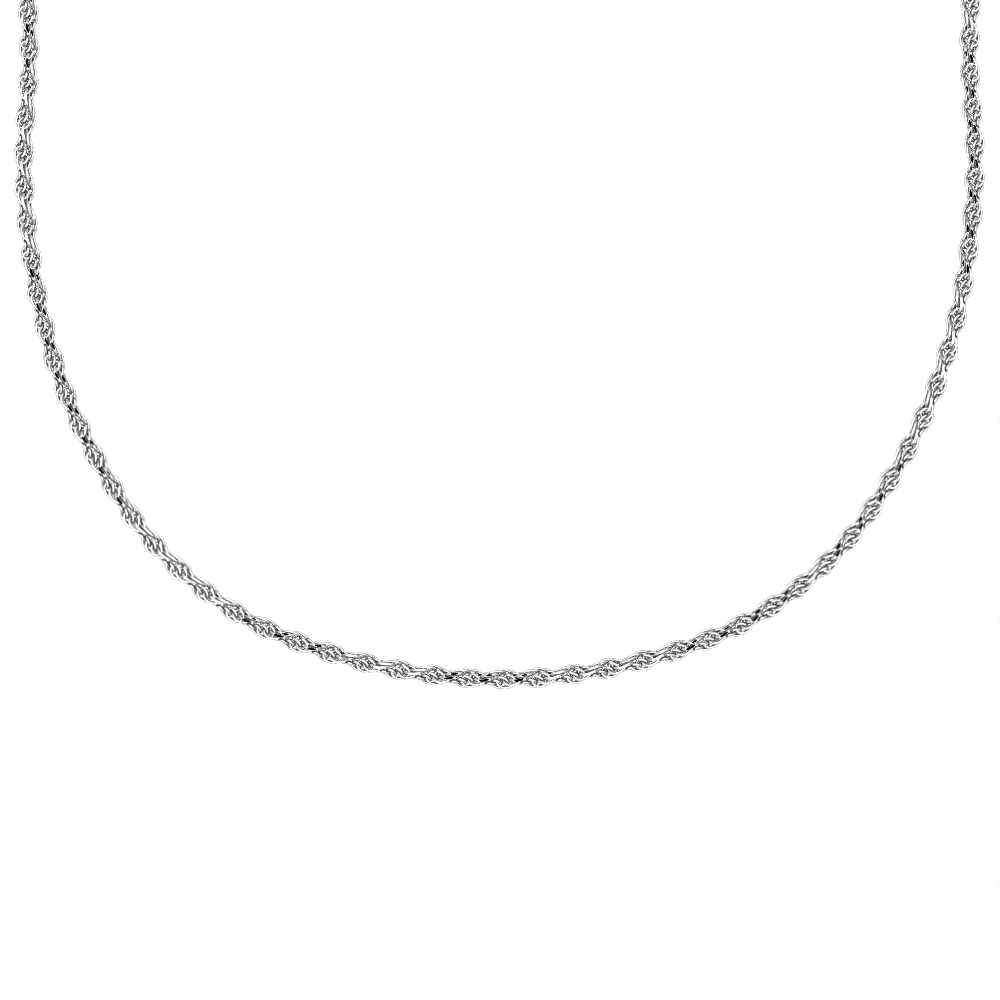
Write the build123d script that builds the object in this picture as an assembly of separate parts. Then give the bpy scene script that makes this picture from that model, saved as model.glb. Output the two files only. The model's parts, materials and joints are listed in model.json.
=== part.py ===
"""Sterling-silver rope-chain necklace, unclasped and laid flat, with its lobster clasp.

The rope is a double helix of C-shaped wire links. Each rope section below is one full turn of
that helix, drawn as a twisted two-strand bar, and the sections flex against each other.
X is across the necklace, Y runs from the front of the necklace to its clasp ends, Z is up.
The origin is on the supporting surface, under the middle of the necklace's bounding box.
"""

import os
from math import cos, radians, sin, tan

from build123d import *

# Driving dimensions, in millimetres and degrees.
ROPE_DIAMETER = 2.5  # over the outer links
STRAND_RADIUS = 0.78  # one of the two strands that wind round each other
HELIX_PITCH = 8.95  # one full turn of the two strands, and one rope section
HANDEDNESS = -1  # +1 winds like a right-hand screw, -1 like a left-hand one
END_GAP = 0.06  # from a section's tip to the flex point beside it
END_SLOPE = 23.0  # slope of a section's pointed ends, so that neighbours can bend
ENVELOPE_MARGIN = 0.1  # from the rope's outside to the envelope that points its sections
# Joints of one arm from the front to the clasp: how many, and the turn at each.
ARM_TURNS = ((3, 7.1), (3, 11.1), (3, 7.3), (3, 5.7), (2, -4.0), (10, 1.1))

CAP_WALL = 0.28
CAP_DEPTH = 3.2
CAP_LENGTH = 4.2
CAP_ROUND = 0.5
CAP_LOOP_AT = 5.1  # the loop's centre, from the cap's open end
CAP_OVERLAP = 3.0  # length of rope inside the cap
NECK_CLEARANCE = 0.02
LOOP_RADIUS = 0.9  # to the wire's centre, on the cap loops and the clasp's eye
LOOP_WIRE = 0.27  # wire radius
JUMP_RADIUS = 1.0
JUMP_WIRE = 0.22
LINK_GAP = 0.05  # between the wires of two linked loops
END_RING_RADIUS = 2.1
END_RING_WIRE = 0.35
TAG_LENGTH = 4.4
TAG_WIDTH = 2.4
TAG_THICKNESS = 0.3
TAG_HOLE_RADIUS = 0.6
TAG_EDGE = 0.95  # from the hole's centre to the near end of the tag

CLASP_THICKNESS = 2.4
CLASP_CENTRE = 5.85  # from the eye's centre to the middle of the body
CLASP_HALF_LENGTH = 4.9
CLASP_HALF_WIDTH = 2.75
OPENING_CENTRE = 6.5
OPENING_HALF_LENGTH = 3.1
OPENING_HALF_WIDTH = 1.55
CLASP_EDGE_ROUND = 0.45
GATE_START = 4.3
GATE_END = 8.7
GATE_LEVEL = -0.7  # the gate is cut from the wall beyond this side of the centre line
STRIP_MARGIN = 1.0  # how far a cutting strip passes the clasp's side
PIVOT = (3.1, -1.35)
PIN_RADIUS = 0.4
PIN_RUNNING_GAP = 0.05
SLOT_HALF_HEIGHT = 0.6
SLOT_START = 2.0
SLOT_END = 4.9
SLOT_LEVEL = -0.1
TRIGGER_GAP = 0.12
TRIGGER_HALF_THICKNESS = 0.95
ARM_SETBACK = 0.55  # from the gate's start to the full thickness of the trigger's arm
WEB_OVERLAP = 0.7  # how far the hub's thin web runs past the gate's start, into the arm
HUB_RADIUS = 0.82
HUB_BOTTOM = -0.5
HUB_TOP = 0.1
THUMB_RADIUS = 0.55
THUMB_CENTRE = (4.15, -3.0)
THUMB_NECK = 1.2  # from the thumb's centre in to the arm
SPRING_WIRE = 0.07
SPRING_PITCH = 0.15
SPRING_TURNS = 2
SPRING_RADIUS = 0.56
SPRING_GAP = 0.03  # between the hub and the spring

AXIS_HEIGHT = ROPE_DIAMETER / 2
HALF_SECTION = HELIX_PITCH / 2
STANDING = (Align.CENTER, Align.CENTER, Align.MIN)


def strand_bar(length):
    """The two twisted strands along +X, centred on the origin, widest across Y at the middle."""
    offset = ROPE_DIAMETER / 2 - STRAND_RADIUS
    profile = Circle(STRAND_RADIUS)
    section = (Pos(offset, 0) * profile + Pos(-offset, 0) * profile).face()
    turn = 360 * length / HELIX_PITCH
    bar = Solid.extrude_linear_with_rotation(
        section, (0, 0, 0), (0, 0, length), HANDEDNESS * turn
    )
    bar = Pos(0, 0, -length / 2) * Rot(0, 0, 90 - HANDEDNESS * turn / 2) * bar
    return Rot(0, 90, 0) * bar


def pointed_envelope(neck_length=0.0):
    """A cylinder along +X with coned ends, turned down over neck_length at its +X end."""
    outer = ROPE_DIAMETER / 2 + ENVELOPE_MARGIN
    tip = HALF_SECTION - END_GAP
    setback = outer * tan(radians(END_SLOPE))
    neck = ROPE_DIAMETER / 2 - CAP_WALL - NECK_CLEARANCE
    if neck_length:
        far_end = [
            (HALF_SECTION - neck_length, outer),
            (HALF_SECTION - neck_length, neck),
            (HALF_SECTION, neck),
            (HALF_SECTION, 0),
        ]
    else:
        far_end = [(tip - setback, outer), (tip, 0)]
    outline = Polyline((-tip, 0), (-tip + setback, outer), *far_end, close=True)
    return revolve(make_face(outline), Axis.X)


def rope_section(neck_length=0.0):
    """One turn of the rope, along +X about the origin."""
    return (strand_bar(HELIX_PITCH) & pointed_envelope(neck_length)).solid()


def loop(radius, wire):
    """A closed wire loop lying flat about the origin."""
    return Solid.make_torus(radius, wire)


def end_cap():
    """Cup over the rope's end, with a flat loop, from its open end at the origin along +X."""
    cup = Rot(0, 90, 0) * Cylinder(ROPE_DIAMETER / 2, CAP_LENGTH, align=STANDING)
    cup = fillet(cup.edges().sort_by(Axis.X)[-1], CAP_ROUND)
    bore = Rot(0, 90, 0) * Cylinder(ROPE_DIAMETER / 2 - CAP_WALL, CAP_DEPTH, align=STANDING)
    return (cup - bore + Pos(CAP_LOOP_AT, 0, 0) * loop(LOOP_RADIUS, LOOP_WIRE)).solid()


def jump_ring():
    """A closed ring standing upright, in the XZ plane."""
    return Rot(90, 0, 0) * loop(JUMP_RADIUS, JUMP_WIRE)


def wall_ring():
    """Outline of the clasp: an oval with an oval opening."""
    outer = Pos(CLASP_CENTRE, 0) * Ellipse(CLASP_HALF_LENGTH, CLASP_HALF_WIDTH)
    inner = Pos(OPENING_CENTRE, 0) * Ellipse(OPENING_HALF_LENGTH, OPENING_HALF_WIDTH)
    return outer - inner


def side_strip(start, end, level):
    """Part of the plane between two stations, beyond a level on the gate's side."""
    depth = CLASP_HALF_WIDTH + level + STRIP_MARGIN
    return Pos((start + end) / 2, level - depth / 2) * Rectangle(end - start, depth)


def slab(sketch, half_thickness):
    """The sketch as a solid, centred on its plane."""
    return extrude(sketch, half_thickness, both=True)


def clasp_body():
    """Lobster clasp without its trigger, with the eye's centre at the origin, along +X."""
    body = slab(wall_ring(), CLASP_THICKNESS / 2)
    rims = body.edges().filter_by(Axis.Z, reverse=True)
    body = fillet(rims, CLASP_EDGE_ROUND)
    body -= slab(side_strip(GATE_START, GATE_END, GATE_LEVEL), CLASP_THICKNESS)
    body -= slab(side_strip(SLOT_START, SLOT_END, SLOT_LEVEL), SLOT_HALF_HEIGHT)
    body -= slab(Pos(*PIVOT) * Circle(PIN_RADIUS), CLASP_THICKNESS)
    return (body + loop(LOOP_RADIUS, LOOP_WIRE)).solid()


def clasp_trigger():
    """The sprung gate: hub on the pin, arm closing the gap, thumb lever outside."""
    level = GATE_LEVEL - TRIGGER_GAP
    thumb_x, thumb_y = THUMB_CENTRE
    arm_area = wall_ring() & side_strip(GATE_START + ARM_SETBACK, GATE_END - TRIGGER_GAP, level)
    arm = slab(arm_area, TRIGGER_HALF_THICKNESS)
    web_area = wall_ring() & side_strip(PIVOT[0], GATE_START + WEB_OVERLAP, level)
    web_area += Pos(*PIVOT) * Circle(HUB_RADIUS)
    web_area += Pos(*THUMB_CENTRE) * Circle(THUMB_RADIUS)
    web_area += Pos(thumb_x, thumb_y + THUMB_NECK / 2) * Rectangle(2 * THUMB_RADIUS, THUMB_NECK)
    web = extrude(Pos(0, 0, HUB_BOTTOM) * web_area, HUB_TOP - HUB_BOTTOM)
    hole = slab(Pos(*PIVOT) * Circle(PIN_RADIUS + PIN_RUNNING_GAP), CLASP_THICKNESS)
    return (arm + web - hole).solid()


def clasp_pin():
    """Rivet that the trigger turns on."""
    return Pos(*PIVOT, 0) * Cylinder(PIN_RADIUS, CLASP_THICKNESS)


def clasp_spring():
    """Torsion coil round the pin, above the trigger's hub."""
    path = Helix(SPRING_PITCH, SPRING_PITCH * SPRING_TURNS, SPRING_RADIUS)
    profile = Plane(origin=path @ 0, z_dir=path % 0) * Circle(SPRING_WIRE)
    return Pos(*PIVOT, HUB_TOP + SPRING_WIRE + SPRING_GAP) * sweep(profile, path)


def quality_tag():
    """Blank oval tag standing across +X, its hole's centre at the origin, along +Y."""
    half = TAG_WIDTH / 2
    straight = TAG_LENGTH - TAG_WIDTH
    outline = Pos(straight / 2 + half - TAG_EDGE, 0) * SlotCenterToCenter(straight, TAG_WIDTH)
    plate = slab(outline - Circle(TAG_HOLE_RADIUS), TAG_THICKNESS / 2)
    return Rot(0, 90, 0) * Rot(0, 0, 90) * plate


def arm_stations():
    """Flex points of the right arm from the front, and each section's heading."""
    turns = [turn for count, turn in ARM_TURNS for _ in range(count)]
    headings = [0.0]
    points = [(HALF_SECTION, 0.0)]
    for turn in turns:
        headings.append(headings[-1] + turn)
        along = radians(headings[-1])
        x, y = points[-1]
        points.append((x + HELIX_PITCH * cos(along), y + HELIX_PITCH * sin(along)))
    return points, headings[1:]


def on_arm(shape, side, station, heading, along):
    """Puts a shape drawn along +X on an arm, side +1 right or -1 left, without mirroring it."""
    x = station[0] + along * cos(radians(heading))
    y = station[1] + along * sin(radians(heading))
    direction = heading if side > 0 else 180 - heading
    return Pos(side * x, y, AXIS_HEIGHT) * Rot(0, 0, direction) * shape


def link_spacing(radius, wire):
    """Distance from a jump ring's centre to that of a loop linked through it."""
    return JUMP_RADIUS + radius - (JUMP_WIRE + wire + LINK_GAP)


def arm(side, name):
    """The nodes of one arm, from the front section's end to the clasp or the end ring."""
    stations, headings = arm_stations()
    nodes = {}
    for number, heading in enumerate(headings, start=1):
        shape = rope_section(CAP_OVERLAP if number == len(headings) else 0)
        station = stations[number - 1]
        placed = on_arm(shape, side, station, heading, HALF_SECTION)
        nodes[f"rope_{name}_{number:02d}"] = placed
    end = (side, stations[-1], headings[-1])
    ring_at = CAP_LOOP_AT - CAP_OVERLAP + link_spacing(LOOP_RADIUS, LOOP_WIRE)
    nodes[f"{name}_end_cap"] = on_arm(end_cap(), *end, -CAP_OVERLAP)
    nodes[f"{name}_jump_ring"] = on_arm(jump_ring(), *end, ring_at)
    if side > 0:
        at = ring_at + link_spacing(END_RING_RADIUS, END_RING_WIRE)
        nodes["end_ring"] = on_arm(loop(END_RING_RADIUS, END_RING_WIRE), *end, at)
        tag = Pos(0, END_RING_RADIUS, 0) * quality_tag()
        nodes["quality_tag"] = on_arm(tag, *end, at)
    else:
        at = ring_at + link_spacing(LOOP_RADIUS, LOOP_WIRE)
        nodes["clasp_body"] = on_arm(clasp_body(), *end, at)
        nodes["clasp_trigger"] = on_arm(clasp_trigger(), *end, at)
        nodes["clasp_pin"] = on_arm(clasp_pin(), *end, at)
        nodes["clasp_spring"] = on_arm(clasp_spring(), *end, at)
    return nodes


def necklace():
    """Every node, with the origin under the middle of their common bounding box."""
    front = Pos(0, 0, AXIS_HEIGHT) * rope_section()
    nodes = {"rope_front": front, **arm(1, "right"), **arm(-1, "left")}
    middle = Compound(children=[Part() + shape for shape in nodes.values()]).bounding_box()
    shift = Pos(-middle.center().X, -middle.center().Y, 0)
    return {name: shift * shape for name, shape in nodes.items()}


os.makedirs("parts", exist_ok=True)
for node_name, node_shape in necklace().items():
    export_step(node_shape, f"parts/{node_name}.step")
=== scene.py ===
"""Diamond-cut sterling-silver rope necklace: every wire link, the clasp hardware, stage and camera.

The rope is a double helix of C-shaped wire links. Each piece below holds one turn of it, from the
middle of one CAD section to the middle of the next, across the flex joint in between.
"""
import json
import math

import bpy
import numpy as np
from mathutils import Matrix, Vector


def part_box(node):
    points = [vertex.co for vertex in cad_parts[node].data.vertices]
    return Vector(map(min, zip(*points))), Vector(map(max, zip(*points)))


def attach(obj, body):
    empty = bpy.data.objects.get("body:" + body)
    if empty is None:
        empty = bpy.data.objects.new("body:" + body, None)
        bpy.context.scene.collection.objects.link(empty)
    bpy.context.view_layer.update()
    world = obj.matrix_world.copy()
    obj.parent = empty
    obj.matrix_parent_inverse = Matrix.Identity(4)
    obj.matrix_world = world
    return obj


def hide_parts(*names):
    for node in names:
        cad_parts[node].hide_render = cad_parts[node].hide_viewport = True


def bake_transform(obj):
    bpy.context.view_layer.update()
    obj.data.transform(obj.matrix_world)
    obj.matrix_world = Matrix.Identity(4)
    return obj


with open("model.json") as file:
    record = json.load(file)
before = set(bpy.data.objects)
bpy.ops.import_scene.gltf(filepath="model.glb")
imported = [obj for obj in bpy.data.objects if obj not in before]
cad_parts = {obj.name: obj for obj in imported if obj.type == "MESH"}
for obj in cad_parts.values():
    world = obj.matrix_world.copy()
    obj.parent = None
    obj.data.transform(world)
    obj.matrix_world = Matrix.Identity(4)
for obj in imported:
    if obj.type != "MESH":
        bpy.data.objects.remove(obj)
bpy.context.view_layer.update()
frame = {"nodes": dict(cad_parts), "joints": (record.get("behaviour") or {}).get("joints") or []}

MM = 0.001
UP = np.array([0.0, 0.0, 1.0])
ROUTE_SAMPLES = 40001  # along the rope's axis
HEADING_STEP = 0.05

# The rope, in millimetres and degrees.
CUT_DISTANCES = (1.19, 1.32, 1.25, 1.32)  # from the axis to the flats: top, side, base, side
HELIX_PITCH = 8.95
LINKS_PER_TURN = 22
HANDEDNESS = -1  # a left-handed helix
WIRE_DIAMETER = 0.35
LINK_OUT = 0.455  # from the rope's axis to a link's centre
LINK_ASIDE = -0.137  # and across that
LINK_RADIUS = 0.834  # to the wire's centre, across the link
LINK_STRETCH = 1.337  # length of a link over its width
LINK_TILT = 10.9  # between a link's length and the rope's axis
LINK_LEAN = -37.4  # lean of a link's plane about its length
LINK_GAP = 16.0  # opening of the C, on the inner side
WIRE_SIDES = 18  # mesh round the wire
LINK_STEPS = 46  # mesh along it
DENSER_OUTSIDE = 0.45  # share of a link's mesh drawn towards the rope's outside
FLAT_ROLL = 7.0  # slow roll of the flats along the rope
FLAT_ROLL_LENGTH = 58.0  # from one roll to the next
CAP_REACH = 1.6  # rope inside an end cap
CAP_SQUEEZE = 0.82  # size of the links there
CAP_DEPTH = 3.0  # of a cap's sleeve
PHASE_JITTER = 1.2  # unevenness of the links round the rope
PLACE_JITTER = 0.012  # and along it
SEED = 11

# Surfaces: texture scales per metre, and bump height in metres.
MOTTLE_SCALE = 900.0
MARKS_SCALE = 5200.0
MARKS_HEIGHT = 0.00002

# Stage and camera, in metres.
FIELD = 0.1276  # what the frame spans at the rope
CAMERA_HEIGHT = 1.2
VIEW_ABOVE_FRONT = 0.02268  # from the first flex joints to the middle of the view, along Y
VIEW_ASIDE = 0.00008
SENSOR_WIDTH = 36.0  # millimetres
CLIP_START, CLIP_END = 0.05, 20.0
PIXEL_FILTER = 0.6
FLOOR_HALF = 12.0
FLOOR_DROP = 0.13  # the necklace is held clear of the floor, so a swung arm stays above it
FLOOR_GLOW = 0.47
HOOD_HALF = 0.2  # the camera's dark underside, which the polished flats mirror
HOOD_GAP = 0.02
SKY_STRENGTH = 2.5


def natural_spline(t, y):
    """A smooth curve through y at t, as a function of t."""
    n = len(t)
    h = np.diff(t)
    a = np.eye(n)
    b = np.zeros((n, y.shape[1]))
    for i in range(1, n - 1):
        a[i, i - 1:i + 2] = h[i - 1], 2 * (h[i - 1] + h[i]), h[i]
        b[i] = 6 * ((y[i + 1] - y[i]) / h[i] - (y[i] - y[i - 1]) / h[i - 1])
    m = np.linalg.solve(a, b)

    def curve(x):
        k = np.clip(np.searchsorted(t, x) - 1, 0, n - 2)
        d = (x - t[k])[:, None]
        hk = h[k][:, None]
        slope = (y[k + 1] - y[k]) / hk - hk * (2 * m[k] + m[k + 1]) / 6
        return y[k] + d * slope + d ** 2 * m[k] / 2 + d ** 3 * (m[k + 1] - m[k]) / (6 * hk)

    return curve


def centre(node):
    """Middle of a CAD node's box, in millimetres."""
    low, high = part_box(node)
    return np.array((low + high) / 2) / MM


def flex_points(side):
    """The flex joints of one arm from the front, in millimetres."""
    joints = [j for j in frame["joints"] if j["name"].startswith(f"flex_{side}_")]
    return [np.array(j["pos_m"]) / MM for j in sorted(joints, key=lambda j: j["name"])]


right = flex_points("right")
left = flex_points("left")
sections = len(right)
section_length = np.linalg.norm(right[1] - right[0])


def arm_end(points, side):
    """Where the last section of an arm ends, inside its cap."""
    heading = centre(f"{side}_jump_ring") - points[-1]
    return points[-1] + heading / np.linalg.norm(heading) * section_length


route = np.array([arm_end(left, "left"), *left[::-1], *right, arm_end(right, "right")])
knots = np.concatenate([[0], np.cumsum(np.linalg.norm(np.diff(route, axis=0), axis=1))])
spline = natural_spline(knots, route)
fine = np.linspace(0, knots[-1], ROUTE_SAMPLES)
fine_points = spline(fine)
arc = np.concatenate([[0], np.cumsum(np.linalg.norm(np.diff(fine_points, axis=0), axis=1))])
middle_knot = (knots[sections] + knots[sections + 1]) / 2
arc -= np.interp(middle_knot, fine, arc)


def at(s):
    """Point of the rope's axis at a distance s from the front, positive to the right."""
    return np.array([np.interp(s, arc, fine_points[:, i]) for i in range(3)])


def heading_at(s):
    """Unit direction of the rope's axis at s."""
    direction = at(s + HEADING_STEP) - at(s - HEADING_STEP)
    return direction / np.linalg.norm(direction)


def section_middle(number):
    """Distance along the rope to the middle of a section: 0 is the front, negative is left."""
    k = sections + number
    return float(np.interp((knots[k] + knots[k + 1]) / 2, fine, arc))


def link_shape():
    """Vertices of one link about the rope's axis: u outwards, v round, z along; how far each faces
    away from the axis, 1 to -1; its quads and its two end faces."""
    tilt = HANDEDNESS * math.radians(LINK_TILT)
    lean = math.radians(LINK_LEAN)
    gap = math.radians(LINK_GAP)
    turn = np.linspace(-math.pi, math.pi, LINK_STEPS)
    turn = (turn - DENSER_OUTSIDE * np.sin(turn)) * (1 - gap / (2 * math.pi))
    round_wire = np.linspace(0, 2 * math.pi, WIRE_SIDES, endpoint=False)
    round_wire = round_wire - DENSER_OUTSIDE * np.sin(round_wire) - lean
    u = np.array([1.0, 0, 0])
    w = np.array([0, math.sin(tilt), math.cos(tilt)])
    across = math.cos(lean) * u + math.sin(lean) * np.cross(u, w)
    normal = np.cross(across, w)
    t = turn[:, None]
    middle = np.array([LINK_OUT, LINK_ASIDE, 0])
    line = middle + LINK_RADIUS * (np.cos(t) * across + LINK_STRETCH * np.sin(t) * w)
    tangent = -np.sin(t) * across + LINK_STRETCH * np.cos(t) * w
    tangent /= np.linalg.norm(tangent, axis=1, keepdims=True)
    outwards = np.cross(tangent, normal)
    cosine, sine = np.cos(round_wire)[None, :, None], np.sin(round_wire)[None, :, None]
    surface = (cosine * outwards[:, None] + sine * normal).reshape(-1, 3)
    vertices = np.repeat(line, WIRE_SIDES, axis=0) + WIRE_DIAMETER / 2 * surface
    facing = (vertices[:, :2] * surface[:, :2]).sum(axis=1) / np.hypot(*vertices[:, :2].T)
    faces = []
    for i in range(LINK_STEPS - 1):
        for j in range(WIRE_SIDES):
            a, b = i * WIRE_SIDES + j, i * WIRE_SIDES + (j + 1) % WIRE_SIDES
            faces.append((a, a + WIRE_SIDES, b + WIRE_SIDES, b))
    last = len(vertices) - 1
    ends = [tuple(range(WIRE_SIDES)), tuple(range(last, last - WIRE_SIDES, -1))]
    return vertices, facing, np.array(faces), ends


LINK_VERTICES, LINK_FACING, LINK_FACES, LINK_ENDS = link_shape()


def flats(s):
    """Directions of the four polished flats at s, across the rope."""
    roll = math.radians(FLAT_ROLL) * math.sin(2 * math.pi * s / FLAT_ROLL_LENGTH)
    angles = roll + np.arange(4) * math.pi / 2
    return np.stack([np.cos(angles), np.sin(angles)], axis=1)


def place_link(s, phase, size):
    """Vertices of a link in the CAD frame, in millimetres, which flat each lies on or -1, and how
    far it is from the rope's axis."""
    cosine, sine = math.cos(phase), math.sin(phase)
    u, v, z = LINK_VERTICES.T * size
    across = np.stack([cosine * u - sine * v, sine * u + cosine * v], axis=1)
    on_flat = np.full(len(across), -1)
    for k, (direction, distance) in enumerate(zip(flats(s), CUT_DISTANCES)):
        over = across @ direction - distance
        cut = over > 0
        across[cut] -= over[cut, None] * direction
        on_flat[cut] = k
    forward = heading_at(s)
    side = np.cross(forward, UP)
    points = at(s) + across[:, :1] * UP + across[:, 1:] * side + z[:, None] * forward
    return points, on_flat, np.hypot(*across.T)


link_step = HELIX_PITCH / LINKS_PER_TURN
link_turn = math.pi + HANDEDNESS * 2 * math.pi / LINKS_PER_TURN
rng = np.random.default_rng(SEED)
link_total = int(arc[-1] / link_step)
jitter = rng.normal(0, 1, (2 * link_total + 1, 2))


def rope_piece(name, start, end):
    """One mesh of the links whose centres lie between two distances along the rope. Its attributes
    are each point's distance from the axis, over the furthest flat's, and how far it faces out."""
    vertices, faces, smooth, depth = [], [], [], []
    base = 0
    for i in range(-link_total, link_total + 1):
        s = i * link_step
        if not start <= s < end:
            continue
        wobble = jitter[i + link_total]
        phase = math.pi / 2 + i * link_turn + math.radians(PHASE_JITTER) * wobble[0]
        size = CAP_SQUEEZE if min(s - arc[0], arc[-1] - s) < CAP_DEPTH else 1.0
        points, on_flat, distance = place_link(s + PLACE_JITTER * wobble[1], phase, size)
        vertices.append(points)
        flat = on_flat[LINK_FACES]
        smooth.append(~((flat[:, 0] >= 0) & (flat == flat[:, :1]).all(axis=1)))
        depth.append(distance / max(CUT_DISTANCES))
        faces += (LINK_FACES + base).tolist()
        faces += [tuple(base + k for k in end_face) for end_face in LINK_ENDS]
        smooth.append(np.zeros(2, bool))
        base += len(points)
    mesh = bpy.data.meshes.new(name)
    mesh.from_pydata((np.vstack(vertices) * MM).tolist(), [], faces)
    mesh.materials.append(rope_silver)
    # The flats take the darker copy of the silver, a painted dark reflection.
    mesh.materials.append(cut_silver_painted_dark)
    smooth = np.concatenate(smooth)
    mesh.polygons.foreach_set("use_smooth", smooth)
    mesh.polygons.foreach_set("material_index", (~smooth).astype(np.int32))
    for key, values in (("axis_distance", np.concatenate(depth)),
                        ("facing", np.tile(LINK_FACING, len(depth)))):
        attribute = mesh.attributes.new(key, "FLOAT", "POINT")
        attribute.data.foreach_set("value", values.astype(np.float32))
    mesh.update()
    piece = bpy.data.objects.new(name, mesh)
    bpy.context.scene.collection.objects.link(piece)
    return piece


class Nodes:
    """A short way to write a node tree. Settings that start with in_ are input sockets."""

    def __init__(self, tree):
        self.tree = tree

    def add(self, kind, **settings):
        node = self.tree.nodes.new("ShaderNode" + kind)
        for key, value in settings.items():
            if key.startswith("in_"):
                node.inputs[key[3:]].default_value = value
            else:
                setattr(node, key, value)
        return node

    def link(self, output, socket):
        self.tree.links.new(output, socket)

    def noise(self, vector, scale, detail=4.0, roughness=0.6):
        node = self.add("TexNoise", in_Scale=scale, in_Detail=detail, in_Roughness=roughness)
        self.link(vector, node.inputs["Vector"])
        return node.outputs[0]

    def ramp(self, value, *stops):
        """A ramp over (position, grey) stops."""
        node = self.add("ValToRGB")
        elements = node.color_ramp.elements
        while len(elements) < len(stops):
            elements.new(0.5)
        for element, (position, grey) in zip(elements, stops):
            element.position = position
            element.color = (grey, grey, grey, 1)
        self.link(value, node.inputs["Fac"])
        return node.outputs[0]

    def multiply(self, a, b):
        """The product of two colours."""
        node = self.add("Mix", data_type="RGBA", blend_type="MULTIPLY", in_Factor=1.0)
        self.link(a, node.inputs[6])
        self.link(b, node.inputs[7])
        return node.outputs[2]


def new_material(name):
    """A material, its nodes and its shader."""
    material = bpy.data.materials.new(name)
    material.use_nodes = True
    nodes = Nodes(material.node_tree)
    return material, nodes, material.node_tree.nodes["Principled BSDF"]


def silver(name, low_grey, high_grey, roughness, patina_and_painted_shade=False, bump=0.02):
    """Polished metal with a faint mottle and fine polishing marks. Optionally the links are darker
    in the hollows near the axis and down the flanks that face their neighbours: partly tarnish,
    partly painted shade where the packed wires shade each other."""
    material, nodes, shader = new_material(name)
    shader.inputs["Metallic"].default_value = 1.0
    position = nodes.add("TexCoord").outputs["Object"]
    mottle = nodes.noise(position, MOTTLE_SCALE)
    colour = nodes.ramp(mottle, (0.3, low_grey), (0.7, high_grey))
    if patina_and_painted_shade:
        # Painted shade, with some tarnish: darker in the hollows near the rope's axis.
        distance = nodes.add("Attribute", attribute_name="axis_distance").outputs["Fac"]
        hollow = nodes.ramp(distance, (0.25, 0.70), (0.55, 0.95), (0.8, 1.0))
        colour = nodes.multiply(colour, hollow)
        # Painted shade, with some tarnish: darker down the flanks that face neighbouring wires.
        facing = nodes.add("Attribute", attribute_name="facing").outputs["Fac"]
        flank = nodes.ramp(facing, (0.0, 0.72), (0.35, 0.90), (0.6, 1.0))
        colour = nodes.multiply(colour, flank)
    nodes.link(colour, shader.inputs["Base Color"])
    marks = nodes.noise(position, MARKS_SCALE, 3.0)
    low, high = roughness
    nodes.link(nodes.ramp(marks, (0.3, low), (0.7, high)), shader.inputs["Roughness"])
    bumps = nodes.add("Bump", in_Strength=bump, in_Distance=MARKS_HEIGHT)
    nodes.link(marks, bumps.inputs["Height"])
    nodes.link(bumps.outputs[0], shader.inputs["Normal"])
    return material


# The rope's links carry painted shade, with some tarnish, in their hollows and on their flanks.
rope_silver = silver("rope_silver", 0.60, 0.70, (0.08, 0.15), patina_and_painted_shade=True)
# The flats are the same silver painted darker, a painted dark reflection that keeps them from
# blowing out white.
cut_silver_painted_dark = silver("cut_silver_painted_dark", 0.36, 0.44, (0.02, 0.05), bump=0.004)
cast_silver = silver("cast_silver", 0.46, 0.58, (0.14, 0.26))
wire_steel = silver("wire_steel", 0.30, 0.38, (0.2, 0.34))

# Each piece of rope spans one flex joint. The end pieces stay with the last sections and reach into
# their caps.
for side, sign in (("right", 1), ("left", -1)):
    for number in range(1, sections + 1):
        ends = sorted((section_middle(sign * (number - 1)), section_middle(sign * number)))
        piece = rope_piece(f"links_{side}_{number:02d}", *ends)
        replaced = [f"rope_{side}_{number:02d}"] + (["rope_front"] if number == 1 else [])
        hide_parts(*replaced)
        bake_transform(piece)
    last = section_middle(sign * sections)
    tip = sign * (abs(arc[-1] if sign > 0 else arc[0]) - CAP_DEPTH + CAP_REACH)
    piece = rope_piece(f"links_{side}_end", *sorted((last, tip)))
    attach(piece, f"{side}_{sections:02d}")

for name, node in frame["nodes"].items():
    if node.hide_render:
        continue
    node.data.materials.clear()
    node.data.materials.append(wire_steel if name == "clasp_spring" else cast_silver)

# Stage: a pale floor, a bright room and the camera's dark underside overhead.


def sheet(name, half, height, material, middle=(0.0, 0.0)):
    """A horizontal square that isn't part of the object."""
    x, y = middle
    corners = [(x + i * half, y + j * half, height) for i, j in ((-1, -1), (1, -1), (1, 1), (-1, 1))]
    mesh = bpy.data.meshes.new(name)
    mesh.from_pydata(corners, [], [(0, 1, 2, 3)])
    mesh.materials.append(material)
    panel = bpy.data.objects.new(name, mesh)
    bpy.context.scene.collection.objects.link(panel)


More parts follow.
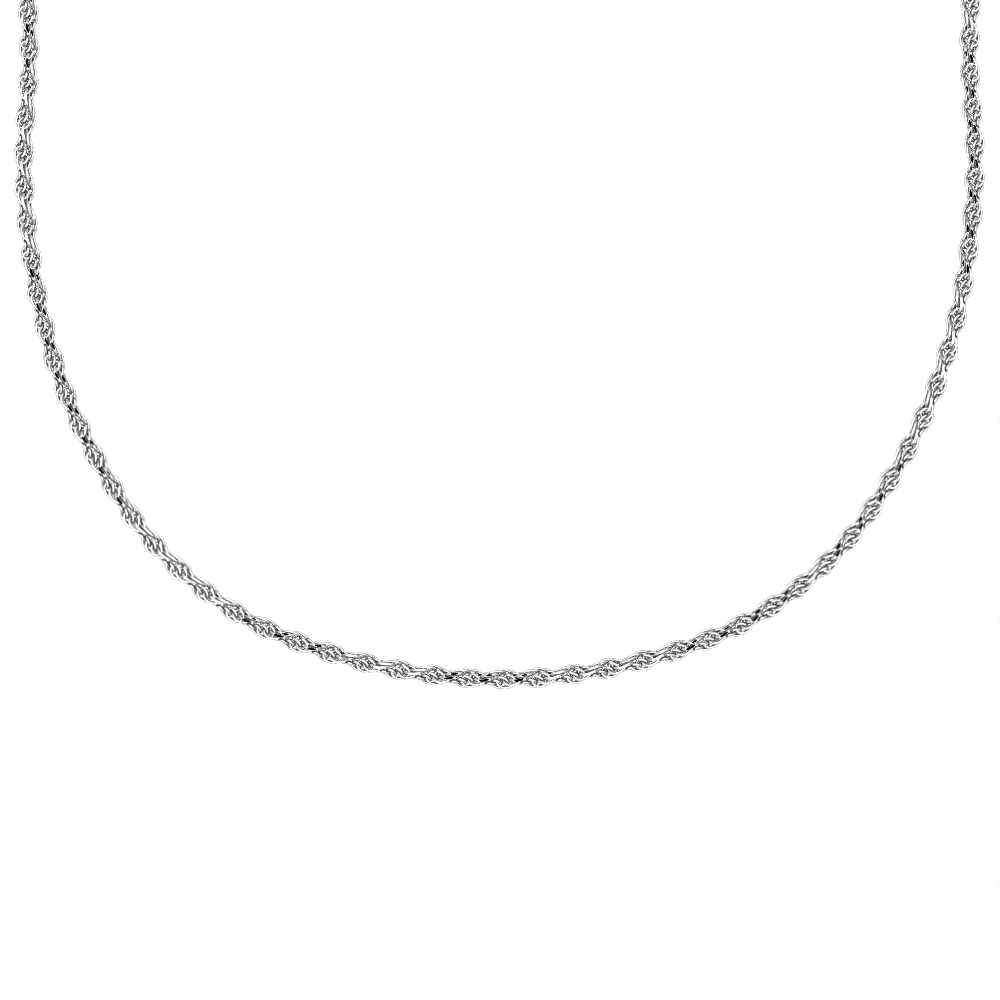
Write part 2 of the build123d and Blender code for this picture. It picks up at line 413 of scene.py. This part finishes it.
front = right[0] * MM
view_x, view_y = VIEW_ASIDE, front[1] + VIEW_ABOVE_FRONT

paper, nodes, shader = new_material("paper")
shader.inputs["Roughness"].default_value = 0.9
shader.inputs["Specular IOR Level"].default_value = 0.1
grain = nodes.noise(nodes.add("TexCoord").outputs["Object"], 300.0)
nodes.link(nodes.ramp(grain, (0.3, 0.30), (0.7, 0.32)), shader.inputs["Base Color"])
shader.inputs["Emission Color"].default_value = (1, 1, 1, 1)
shader.inputs["Emission Strength"].default_value = FLOOR_GLOW
sheet("floor", FLOOR_HALF, -FLOOR_DROP, paper)

dark, nodes, shader = new_material("camera_underside")
felt = nodes.noise(nodes.add("TexCoord").outputs["Object"], 60.0)
nodes.link(nodes.ramp(felt, (0.3, 0.003), (0.7, 0.006)), shader.inputs["Base Color"])
shader.inputs["Roughness"].default_value = 0.9
shader.inputs["Specular IOR Level"].default_value = 0.0
sheet("camera_hood", HOOD_HALF, CAMERA_HEIGHT + HOOD_GAP, dark, (view_x, view_y))

world = bpy.data.worlds.new("studio")
bpy.context.scene.world = world
world.use_nodes = True
nodes = Nodes(world.node_tree)
height = nodes.add("SeparateXYZ")
nodes.link(nodes.add("TexCoord").outputs["Generated"], height.inputs[0])
sky = nodes.ramp(height.outputs[2], (0.0, 0.25), (0.5, 0.33), (0.74, 1.0), (1.0, 1.0))
background = world.node_tree.nodes["Background"]
nodes.link(sky, background.inputs["Color"])
background.inputs["Strength"].default_value = SKY_STRENGTH

camera = bpy.data.cameras.new("camera")
camera.sensor_width = SENSOR_WIDTH
camera.lens = camera.sensor_width * (CAMERA_HEIGHT - front[2]) / FIELD
camera.clip_start = CLIP_START
camera.clip_end = CLIP_END
camera_object = bpy.data.objects.new("camera", camera)
camera_object.location = (view_x, view_y, CAMERA_HEIGHT)
bpy.context.scene.collection.objects.link(camera_object)
bpy.context.scene.camera = camera_object

bpy.context.scene.view_settings.view_transform = "Standard"
bpy.context.scene.cycles.filter_width = PIXEL_FILTER
